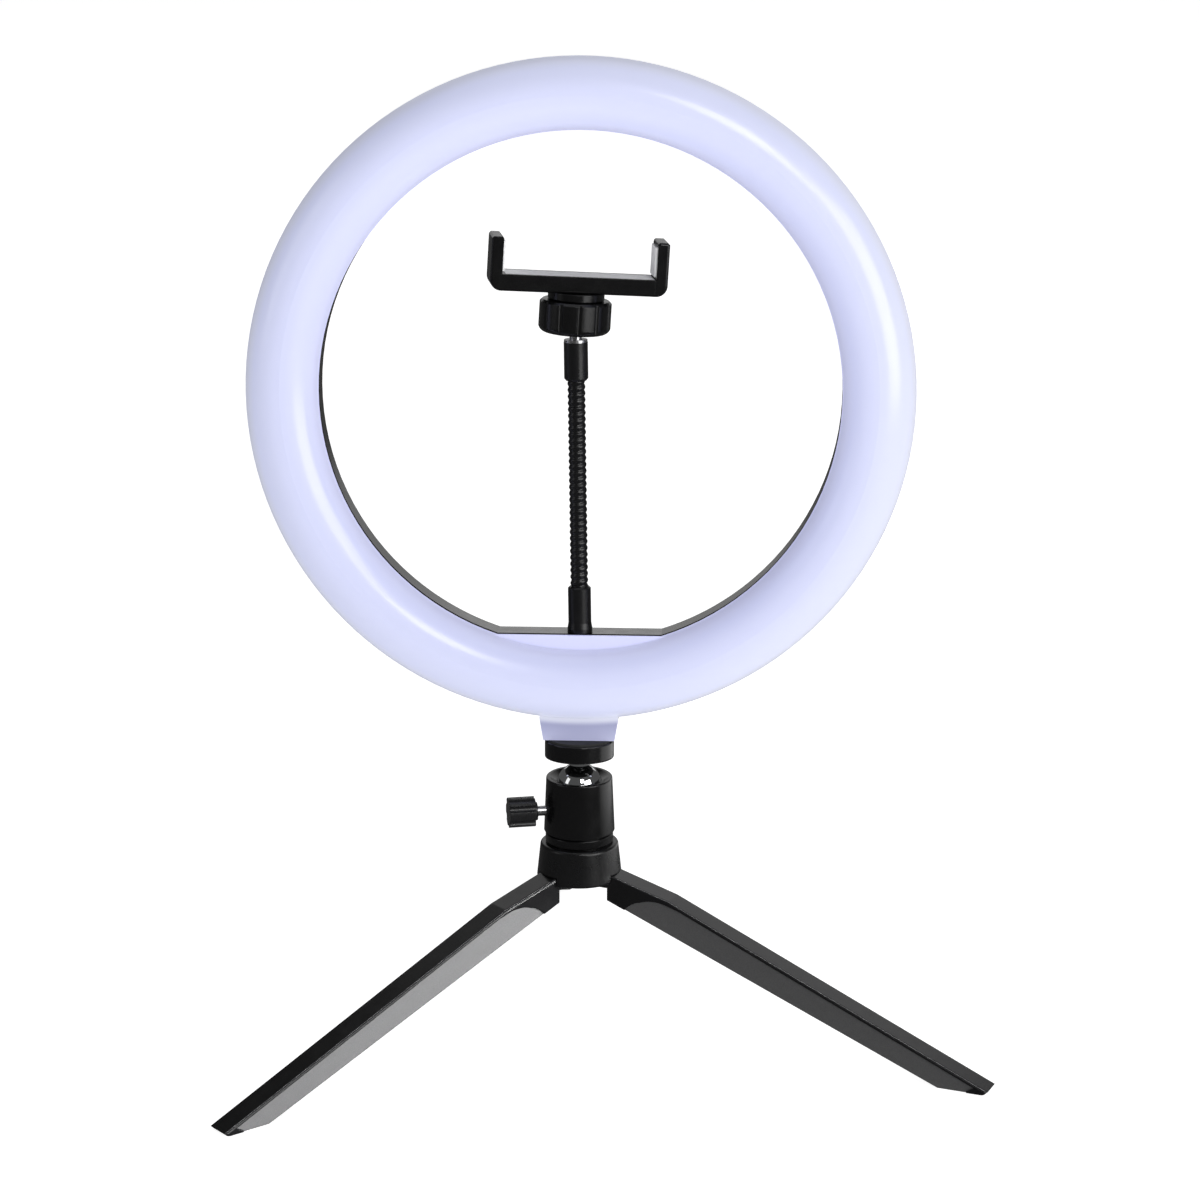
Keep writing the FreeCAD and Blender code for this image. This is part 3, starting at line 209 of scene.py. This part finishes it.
def gloss_black():
    shade = moulded(
        "black_gloss_plastic", (0.003, 0.003, 0.0032), (0.18, 0.27), 1800, 0.02 * MM, 0.4,
        edge=0.5 * MM,
    )
    return shade.material


def light_axes(shade):
    """Along the light's own axes from the ring's centre: X across, Y back from the seam, Z up."""
    return shade.own_axes(RING, (-TILT, 0, 0))


def housing_black():
    """Black shell with a painted shadow line: in a narrow strip beside the seam it reflects nothing and reads
    black, standing in for the shade of the gap.
    """
    gloss_level = 0.45
    shade = moulded(
        "housing_plastic", (0.004, 0.004, 0.0045), (0.16, 0.26), 900, 0.015 * MM, gloss_level,
        edge=0.4 * MM,
    )
    # Painted shadow: no reflection and full roughness within SEAM_SHADOW of the seam.
    away = shade.maths("GREATER_THAN", light_axes(shade)["Y"], SEAM_SHADOW)
    shade.drive("Specular IOR Level", shade.maths("MULTIPLY", away, gloss_level))
    in_gap = shade.maths("SUBTRACT", 1.0, away)
    shade.drive("Roughness", shade.maths("MAXIMUM", shade.driver_of("Roughness"), in_gap))
    return shade.material


def satin_black():
    shade = moulded(
        "satin_plastic", (0.004, 0.004, 0.0043), (0.24, 0.34), 2600, 0.05 * MM, 0.45, edge=0.4 * MM,
    )
    return shade.material


def leg_plastic(number):
    """Satin plastic whose sunk side panels have a coarser grain and a paler colour, which is partly the grain's
    own tone and partly painted light.
    """
    shade = moulded(
        f"leg_plastic_{number}", (0.004, 0.004, 0.0043), (0.16, 0.24), 2600, 0.03 * MM, 0.45,
        edge=0.6 * MM,
    )
    hinge = Vector(joint(f"leg_{number}_fold")["axis"])
    place = shade.own_axes(BALL, (0, 0, math.atan2(-hinge.x, hinge.y)))
    from_middle = shade.maths("ABSOLUTE", place["Y"])
    sunk = shade.maths("COMPARE", from_middle, PANEL_FROM_MIDDLE, PANEL_TOLERANCE)
    past_hub = shade.maths("GREATER_THAN", place["X"], HUB_EDGE)
    panel = shade.maths("MULTIPLY", sunk, past_hub)
    grain = shade.noise(3400, 3.0, 0.75)
    # Partly painted light: the panels' pale colour also stands in for the light they catch.
    pale = shade.ramp(grain, [(0.30, (0.026, 0.026, 0.027)), (0.70, (0.070, 0.070, 0.072))])
    shade.drive("Base Color", mix_colours(shade, panel, shade.driver_of("Base Color"), pale))
    panel_roughness = 0.62
    rough = shade.add("ShaderNodeMix", data_type="FLOAT")
    shade.link(panel, rough.inputs[0])
    shade.link(shade.driver_of("Roughness"), rough.inputs[2])
    rough.inputs[3].default_value = panel_roughness
    shade.drive("Roughness", rough.outputs[0])
    shade.drive("Specular IOR Level", shade.maths("MULTIPLY_ADD", panel, 0.6, 0.4))
    coarse = shade.maths("MULTIPLY", grain, panel)
    shade.bump(coarse, 0.12 * MM, 0.7, base=shade.driver_of("Normal"))
    return shade.material


def knob_black():
    shade = moulded(
        "knob_plastic", (0.008, 0.008, 0.0085), (0.22, 0.32), 2200, 0.03 * MM, 0.5, edge=0.5 * MM,
    )
    return shade.material


def radial(shade):
    """Distance from the ring's axis: 0 on the web, 0.16 at the opening's edge, 0.92 at the rim."""
    along = light_axes(shade)
    flat = shade.add("ShaderNodeCombineXYZ")
    shade.link(along["X"], flat.inputs["X"])
    shade.link(along["Z"], flat.inputs["Z"])
    length = shade.add("ShaderNodeVectorMath", operation="LENGTH")
    shade.link(flat.outputs["Vector"], length.inputs[0])
    start, end = RING_INNER - RING_BEYOND_INNER, RING_OUTER + RING_BEYOND_OUTER
    return shade.spread(length.outputs["Value"], 0, 1, start, end)


def lit_plastic():
    """Milky diffuser whose weak glow fades from web to rim and keeps one level down the stub; painted shade
    darkens it at the opening's edge and past the rim.
    """
    shade = Shade("lit_diffuser", (0.50, 0.52, 0.58), 0.34, specular=0.5)
    across = radial(shade)
    # Painted shade: the colour is darker at the opening's edge and past the rim.
    tint = shade.ramp(across, [
        (0.16, (0.36, 0.37, 0.47)),
        (0.24, (0.41, 0.42, 0.52)),
        (0.43, (0.45, 0.46, 0.55)),
        (0.77, (0.46, 0.47, 0.55)),
        (0.92, (0.48, 0.49, 0.55)),
        (1.0, (0.27, 0.275, 0.34)),
    ], smooth=True)
    shade.drive("Base Color", tint)
    # The glow is the lamp's own, but its drop past the rim, on the stub's top under the dome, is painted shade.
    glow = shade.ramp(across, [
        (0.0, (0.38, 0.39, 0.62)),
        (0.15, (0.38, 0.39, 0.62)),
        (0.18, (0.27, 0.28, 0.42)),
        (0.30, (0.27, 0.29, 0.46)),
        (0.54, (0.26, 0.28, 0.44)),
        (0.80, (0.24, 0.26, 0.40)),
        (0.92, (0.24, 0.25, 0.32)),
        (1.0, (0.05, 0.06, 0.18)),
    ], smooth=True)
    stub_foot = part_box("head_disc")[1][2]
    stub_foot_glow = (0.27, 0.28, 0.43)
    height = shade.add("ShaderNodeSeparateXYZ")
    shade.link(shade.place, height.inputs["Vector"])
    down_stub = shade.spread(height.outputs["Z"], 1, 0, stub_foot, stub_foot + STUB_FADE)
    shade.drive("Emission Color", mix_colours(shade, down_stub, glow, stub_foot_glow))
    shade.set("Emission Strength", 1.0)
    shade.set("Subsurface Weight", 0.15)
    shade.set("Subsurface Radius", (4 * MM, 4 * MM, 5 * MM))
    shade.set("Subsurface Scale", 1.0)
    shade.drive("Roughness", shade.spread(shade.noise(120, 3.0, 0.6), 0.19, 0.25))
    shade.bump(shade.noise(1400, 2.0, 0.5), 0.02 * MM, 0.3)
    return shade.material


def metal(name, colour, roughness, along, depth=0.02 * MM):
    """Turned or ground metal with fine marks drawn out along one axis."""
    shade = Shade(name, colour, sum(roughness) / 2, metallic=1.0)
    marks = shade.noise(900, 3.0, 0.7, shade.stretched(along))
    shade.drive("Roughness", shade.spread(marks, *roughness))
    shade.bump(marks, depth, 0.35)
    return shade


def chrome():
    shade = metal("polished_chrome", (0.78, 0.79, 0.80), (0.04, 0.09), (1, 1, 6), 0.004 * MM)
    return shade.material


def steel():
    return metal("bright_steel", (0.62, 0.62, 0.63), (0.20, 0.36), (1, 1, 5)).material


def brass():
    return metal("machined_brass", (0.72, 0.52, 0.24), (0.22, 0.38), (1, 1, 5)).material


def rubber_black():
    shade = moulded("black_rubber", (0.020, 0.020, 0.020), (0.70, 0.85), 3200, 0.08 * MM, 0.3)
    return shade.material


def pale_foam():
    """Dense pale foam with small open cells."""
    shade = moulded("pale_foam", (0.90, 0.90, 0.91), (0.75, 0.9), 1500, 0.08 * MM, 0.3, lift=1.06)
    shade.bump(shade.spots(1600), 0.1 * MM, 0.5)
    return shade.material


def nylon():
    return moulded("dark_nylon", (0.05, 0.05, 0.055), (0.45, 0.6), 1800, 0.04 * MM, 0.4).material


def board_white():
    """White solder mask with faint copper pads under it."""
    shade = Shade("solder_mask", (0.82, 0.82, 0.79), 0.35)
    blotch = shade.noise(300, 4.0, 0.6)
    tint = shade.ramp(blotch, [(0.45, (0.84, 0.84, 0.81)), (0.62, (0.74, 0.75, 0.70))])
    shade.drive("Base Color", tint)
    shade.bump(shade.noise(900), 0.03 * MM, 0.4)
    return shade.material


def emitter_resin():
    """Yellow phosphor behind clear resin, lit."""
    shade = Shade("emitter_resin", (0.9, 0.72, 0.22), 0.15)
    spot = shade.noise(700, 2.0)
    tint = shade.ramp(spot, [(0.4, (0.95, 0.80, 0.30)), (0.65, (0.85, 0.62, 0.15))])
    shade.drive("Base Color", tint)
    shade.set("Emission Color", (1.0, 0.95, 0.85, 1.0))
    shade.set("Emission Strength", 1.5)
    return shade.material


def hose_black():
    shade = moulded("hose_sleeve", (0.004, 0.004, 0.0045), (0.24, 0.36), 2400, 0.03 * MM, 0.45)
    return shade.material


def ferrule_black():
    shade = moulded("ferrule_paint", (0.004, 0.004, 0.0045), (0.26, 0.38), 1600, 0.02 * MM, 0.4)
    return shade.material


FINISH = {
    "black": gloss_black(),
    "satin": satin_black(),
    "knob": knob_black(),
    "lit": lit_plastic(),
    "pads": pale_foam(),
    "rubber": rubber_black(),
    "chrome": chrome(),
    "steel": steel(),
    "brass": brass(),
    "board": board_white(),
    "emitters": emitter_resin(),
    "hose": hose_black(),
    "ferrule": ferrule_black(),
    "nylon": nylon(),
}


def dress(node, material):
    mesh = frame["nodes"][node].data
    mesh.materials.clear()
    mesh.materials.append(material)


for entry in frame["record"]["subparts"]:
    dress(entry["node"], FINISH[entry["material_slot"]])
dress("rear_housing", housing_black())
for leg_number in LEG_NUMBERS:
    dress(f"leg_{leg_number}", leg_plastic(leg_number))


# ---------------------------------------------------------------- gooseneck sleeve
HOSE_RADIUS = 3.5 * MM
RIDGE_DEPTH = 0.45 * MM
RIDGES_PER_PIECE = 4
AROUND = 48
RINGS_PER_RIDGE = 12
RIDGE_SHAPE = 0.7


def bend_joints():
    """The gooseneck's joints from its foot up."""
    items = [item for item in frame["joints"] if item["name"].startswith("gooseneck_")]
    return sorted(items, key=lambda item: int(item["name"].rsplit("_", 1)[1]))


def hose_piece(index, item, axis, side, pitch):
    """One pitch of the wound sleeve, a straight tube centred on a bending joint."""
    middle = Vector(item["pos_m"])
    across = axis.cross(side)
    rings = RIDGES_PER_PIECE * RINGS_PER_RIDGE
    points = []
    for ring in range(rings + 1):
        height = pitch * (ring / rings - 0.5)
        turns = ring / RINGS_PER_RIDGE
        for step in range(AROUND):
            angle = 2 * math.pi * step / AROUND
            wave = 0.5 + 0.5 * math.cos(2 * math.pi * (turns - step / AROUND))
            radius = HOSE_RADIUS - RIDGE_DEPTH * (1 - wave ** RIDGE_SHAPE)
            out = side * math.cos(angle) + across * math.sin(angle)
            points.append(middle + axis * height + out * radius)
    faces = []
    for ring in range(rings):
        for step in range(AROUND):
            after = (step + 1) % AROUND
            low, high = ring * AROUND, (ring + 1) * AROUND
            faces.append((low + step, low + after, high + after, high + step))
    faces.append(tuple(reversed(range(AROUND))))
    faces.append(tuple(range(rings * AROUND, (rings + 1) * AROUND)))
    mesh = bpy.data.meshes.new(f"hose_sleeve_{index}")
    mesh.from_pydata(points, [], faces)
    mesh.update()
    for polygon in mesh.polygons[:-2]:
        polygon.use_smooth = True
    piece = bpy.data.objects.new(f"hose_sleeve_{index}", mesh)
    bpy.context.scene.collection.objects.link(piece)
    mesh.materials.append(FINISH["hose"])
    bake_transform(piece)
    return piece


def make_hose():
    bends = bend_joints()
    points = [Vector(item["pos_m"]) for item in bends]
    axis = (points[-1] - points[0]).normalized()
    pitch = (points[-1] - points[0]).length / (len(points) - 1)
    side = Vector(bends[0]["axis"]).normalized()
    for index, item in enumerate(bends):
        piece = hose_piece(index + 1, item, axis, side, pitch)
        nodes = [f"gooseneck_link_{index + 1}"]
        if index == 0:
            nodes.append("gooseneck_link_0")
        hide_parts(*nodes)


make_hose()


# ---------------------------------------------------------------- floor, light and camera
STUDIO_HALF = 12.0
FLOOR_GLOW = 0.95
WORLD_GLOW = 0.08
CAMERA_FROM_BALL = Vector((0.0842, -1.6747, 0.5970))
CAMERA_AHEAD = Vector((-0.0433, 0.9540, -0.2965))


def area_light(name, place, target, width, height, watts, spread=180.0):
    data = bpy.data.lights.new(name, "AREA")
    data.shape = "RECTANGLE"
    data.size = width
    data.size_y = height
    data.energy = watts
    data.spread = math.radians(spread)
    light = bpy.data.objects.new(name, data)
    light.location = place
    light.rotation_mode = "QUATERNION"
    light.rotation_quaternion = (Vector(target) - Vector(place)).to_track_quat("-Z", "Y")
    bpy.context.scene.collection.objects.link(light)
    return light


def stage_object(name, corners, faces, material):
    """A plain object of the studio, which reflections do not show."""
    mesh = bpy.data.meshes.new(name)
    mesh.from_pydata(corners, [], faces)
    mesh.materials.append(material)
    item = bpy.data.objects.new(name, mesh)
    bpy.context.scene.collection.objects.link(item)
    item.visible_glossy = False
    return item


def studio_corners(height):
    half = STUDIO_HALF
    return [(x, y, height) for x, y in ((-half, -half), (half, -half), (half, half), (-half, half))]


def make_wall(material):
    """Closes the view above the floor's far edge. It gives no light to the lamp."""
    corners = studio_corners(0) + studio_corners(STUDIO_HALF)
    faces = [(i, (i + 1) % 4, (i + 1) % 4 + 4, i + 4) for i in range(4)]
    wall = stage_object("studio_wall", corners, faces, material)
    wall.visible_diffuse = False
    wall.visible_transmission = False
    wall.visible_shadow = False


def make_floor():
    shade = Shade("floor_paper", (0.45, 0.45, 0.45), 0.9, specular=0.0)
    tint = shade.ramp(shade.noise(3, 3.0), [(0.3, (0.44, 0.44, 0.44)), (0.7, (0.46, 0.46, 0.46))])
    shade.drive("Base Color", tint)
    shade.set("Emission Color", (1, 1, 1, 1))
    shade.set("Emission Strength", FLOOR_GLOW)
    floor = stage_object("studio_floor", studio_corners(0), [(0, 1, 2, 3)], shade.material)
    make_wall(shade.material)


def make_world():
    world = bpy.data.worlds.new("studio")
    world.use_nodes = True
    background = world.node_tree.nodes["Background"]
    background.inputs["Color"].default_value = (1, 1, 1, 1)
    background.inputs["Strength"].default_value = WORLD_GLOW
    bpy.context.scene.world = world


def light_only(light, nodes):
    """The light reaches only these nodes."""
    reached = bpy.data.collections.new(f"lit_by_{light.name}")
    for node in nodes:
        reached.objects.link(frame["nodes"][node])
    light.light_linking.receiver_collection = reached


def make_lights():
    target = RING - Vector((0, 0, 0.1))
    area_light("overhead", (0.0, 0.1, 1.7), target, 1.6, 1.2, 4)
    area_light("key_right", (0.46, -1.25, 1.05), target, 0.45, 0.50, 5)
    area_light("side_right", (1.30, -1.10, 0.60), target, 1.1, 1.1, 16)
    low = area_light(
        "low_right", (1.30, -0.40, 0.22), (-0.03, -0.06, 0.03), 0.35, 0.30, 1.6, spread=30,
    )
    light_only(low, [f"leg_{number}" for number in LEG_NUMBERS])
    rim = area_light("rim_right", (0.24, 0.09, 0.07), (0.0, -0.02, 0.07), 0.45, 0.13, 0.26)
    light_only(rim, ["ball_cup", "base_collar", "tripod_hub", "head_disc"])
    area_light("left_fill", (-1.4, -0.6, 0.7), target, 0.5, 0.9, 1.5)
    area_light("backdrop", (0.0, 1.6, 0.9), target, 2.0, 1.2, 5)
    behind = area_light("low_backdrop", (0.0, 1.2, 0.27), (0.0, 0.0, 0.25), 3.0, 0.5, 1.6)
    light_only(behind, ["rear_housing"])


def make_camera():
    data = bpy.data.cameras.new("camera")
    data.lens = 135.0
    data.sensor_width = 36.0
    data.clip_start = 0.05
    data.clip_end = 100.0
    camera = bpy.data.objects.new("camera", data)
    camera.location = BALL + CAMERA_FROM_BALL
    camera.rotation_mode = "QUATERNION"
    camera.rotation_quaternion = CAMERA_AHEAD.to_track_quat("-Z", "Y")
    bpy.context.scene.collection.objects.link(camera)
    bpy.context.scene.camera = camera


make_floor()
make_world()
make_lights()
make_camera()
bpy.context.scene.view_settings.view_transform = "Standard"
